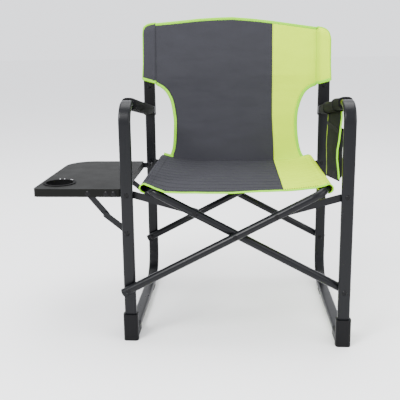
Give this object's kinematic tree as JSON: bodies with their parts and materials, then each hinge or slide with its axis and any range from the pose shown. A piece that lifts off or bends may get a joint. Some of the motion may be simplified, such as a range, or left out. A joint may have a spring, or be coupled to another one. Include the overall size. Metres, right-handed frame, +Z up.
{
  "type": "folding director chair",
  "caption": "Folding director chair with a fabric seat and back, foam arm pads, a fold-down side table with a cup holder, and a side pouch.",
  "frame": {"origin": "the floor point under the middle of the whole object's box, side table included", "axes": "+Z up; the chair faces -Y; +X is to the right in the front view, away from the side table"},
  "size_m": [0.8466, 0.5579, 0.8799],
  "materials": {
    "frame_paint": "black powder coat, semi-gloss",
    "rivet": "zinc-plated rivet heads, dull",
    "black_plastic": "black moulded plastic, fine texture",
    "pad_foam": "dark closed-cell foam, matte",
    "table_plastic": "dark grey moulded plastic, satin",
    "grey_fabric": "charcoal woven polyester",
    "lime_fabric": "lime-green woven polyester and edge binding",
    "black_fabric": "black woven polyester"
  },
  "bodies": {
    "left_frame": {"left_front_leg": "frame_paint", "left_rear_post": "frame_paint", "left_back_tube": "frame_paint", "left_back_cap": "black_plastic", "left_arm_pad": "pad_foam", "left_arm_joint": "black_plastic", "left_foot_boot": "black_plastic", "left_rear_glide": "black_plastic", "left_joint_rivets": "rivet", "left_pivot_rivets": "rivet", "left_pivot_washers": "rivet", "left_link_rivets": "rivet", "left_strut_rivets": "rivet", "table_standoffs": "rivet", "back_sling": "grey_fabric", "back_waist": "grey_fabric"},
    "right_frame": {"right_front_leg": "frame_paint", "right_rear_post": "frame_paint", "right_back_tube": "frame_paint", "right_back_cap": "black_plastic", "right_arm_pad": "pad_foam", "right_arm_joint": "black_plastic", "right_foot_boot": "black_plastic", "right_rear_glide": "black_plastic", "right_joint_rivets": "rivet", "right_pivot_rivets": "rivet", "right_pivot_washers": "rivet", "right_link_rivets": "rivet", "side_pouch": "black_fabric"},
    "cross_a": {"cross_tube_a": "frame_paint", "cross_caps_a": "black_plastic", "cross_link_pins_a": "rivet", "cross_rivets": "rivet", "cross_washers": "rivet"},
    "cross_b": {"cross_tube_b": "frame_paint", "cross_caps_b": "black_plastic", "cross_link_pins_b": "rivet"},
    "left_links": {"left_link_front": "frame_paint", "left_link_rear": "frame_paint", "left_link_ends": "rivet"},
    "right_links": {"right_link_front": "frame_paint", "right_link_rear": "frame_paint", "right_link_ends": "rivet"},
    "seat": {"seat_sling": "grey_fabric"},
    "table": {"table_top": "table_plastic", "cup_ring": "table_plastic", "table_bracket_front": "frame_paint", "table_bracket_rear": "frame_paint", "table_rivets": "rivet"},
    "strut_upper": {"table_strut_upper_front": "frame_paint", "table_strut_upper_rear": "frame_paint", "table_strut_bushes": "rivet"},
    "strut_lower": {"table_strut_lower_front": "frame_paint", "table_strut_lower_rear": "frame_paint"}
  },
  "joints": [
    {"name": "fold", "type": "hinge", "parent": "left_frame", "child": "cross_a", "pos_m": [-0.1673, -0.2546, 0.15], "axis": [0, -1, 0], "range_deg": [0, 46.95], "deforming": ["seat_sling", "back_sling", "back_waist"]},
    {"name": "cross_pivot", "type": "hinge", "parent": "cross_a", "child": "cross_b", "pos_m": [0.1177, -0.2546, 0.3], "axis": [0, -1, 0], "range_deg": [-100.53, 0.05]},
    {"name": "right_pivot", "type": "hinge", "parent": "cross_b", "child": "right_frame", "pos_m": [0.4027, -0.2546, 0.15], "axis": [0, -1, 0], "range_deg": [-0.05, 47]},
    {"name": "left_link_pivot", "type": "hinge", "parent": "left_frame", "child": "left_links", "pos_m": [-0.1673, -0.2546, 0.406], "axis": [0, -1, 0], "range_deg": [-0.05, 84.63]},
    {"name": "right_link_pivot", "type": "hinge", "parent": "right_frame", "child": "right_links", "pos_m": [0.4027, -0.2546, 0.406], "axis": [0, -1, 0], "range_deg": [-84.63, 0.05]},
    {"name": "seat_pivot", "type": "hinge", "parent": "cross_a", "child": "seat", "pos_m": [0.3547, -0.2546, 0.42474], "axis": [0, -1, 0], "range_deg": [-50.29, 0.05]},
    {"name": "table_fold", "type": "hinge", "parent": "left_frame", "child": "table", "pos_m": [-0.1673, -0.2546, 0.406], "axis": [0, -1, 0], "range_deg": [0, 90]},
    {"name": "strut_lower_pivot", "type": "hinge", "parent": "left_frame", "child": "strut_lower", "pos_m": [-0.1693, -0.2546, 0.303], "axis": [0, -1, 0], "range_deg": [-85.91, 0.05]},
    {"name": "strut_upper_pivot", "type": "hinge", "parent": "table", "child": "strut_upper", "pos_m": [-0.2743, -0.2546, 0.407], "axis": [0, -1, 0], "range_deg": [-0.05, 18.05]}
  ],
  "couplings": [
    {"joint": "cross_pivot", "follows": "fold", "ratio": -2.1402},
    {"joint": "right_pivot", "follows": "fold", "ratio": 1},
    {"joint": "left_link_pivot", "follows": "fold", "ratio": 1.8015},
    {"joint": "right_link_pivot", "follows": "fold", "ratio": -1.8015},
    {"joint": "seat_pivot", "follows": "fold", "ratio": -1.0701},
    {"joint": "strut_lower_pivot", "follows": "table_fold", "ratio": -0.954},
    {"joint": "strut_upper_pivot", "follows": "table_fold", "ratio": 0.2}
  ]
}
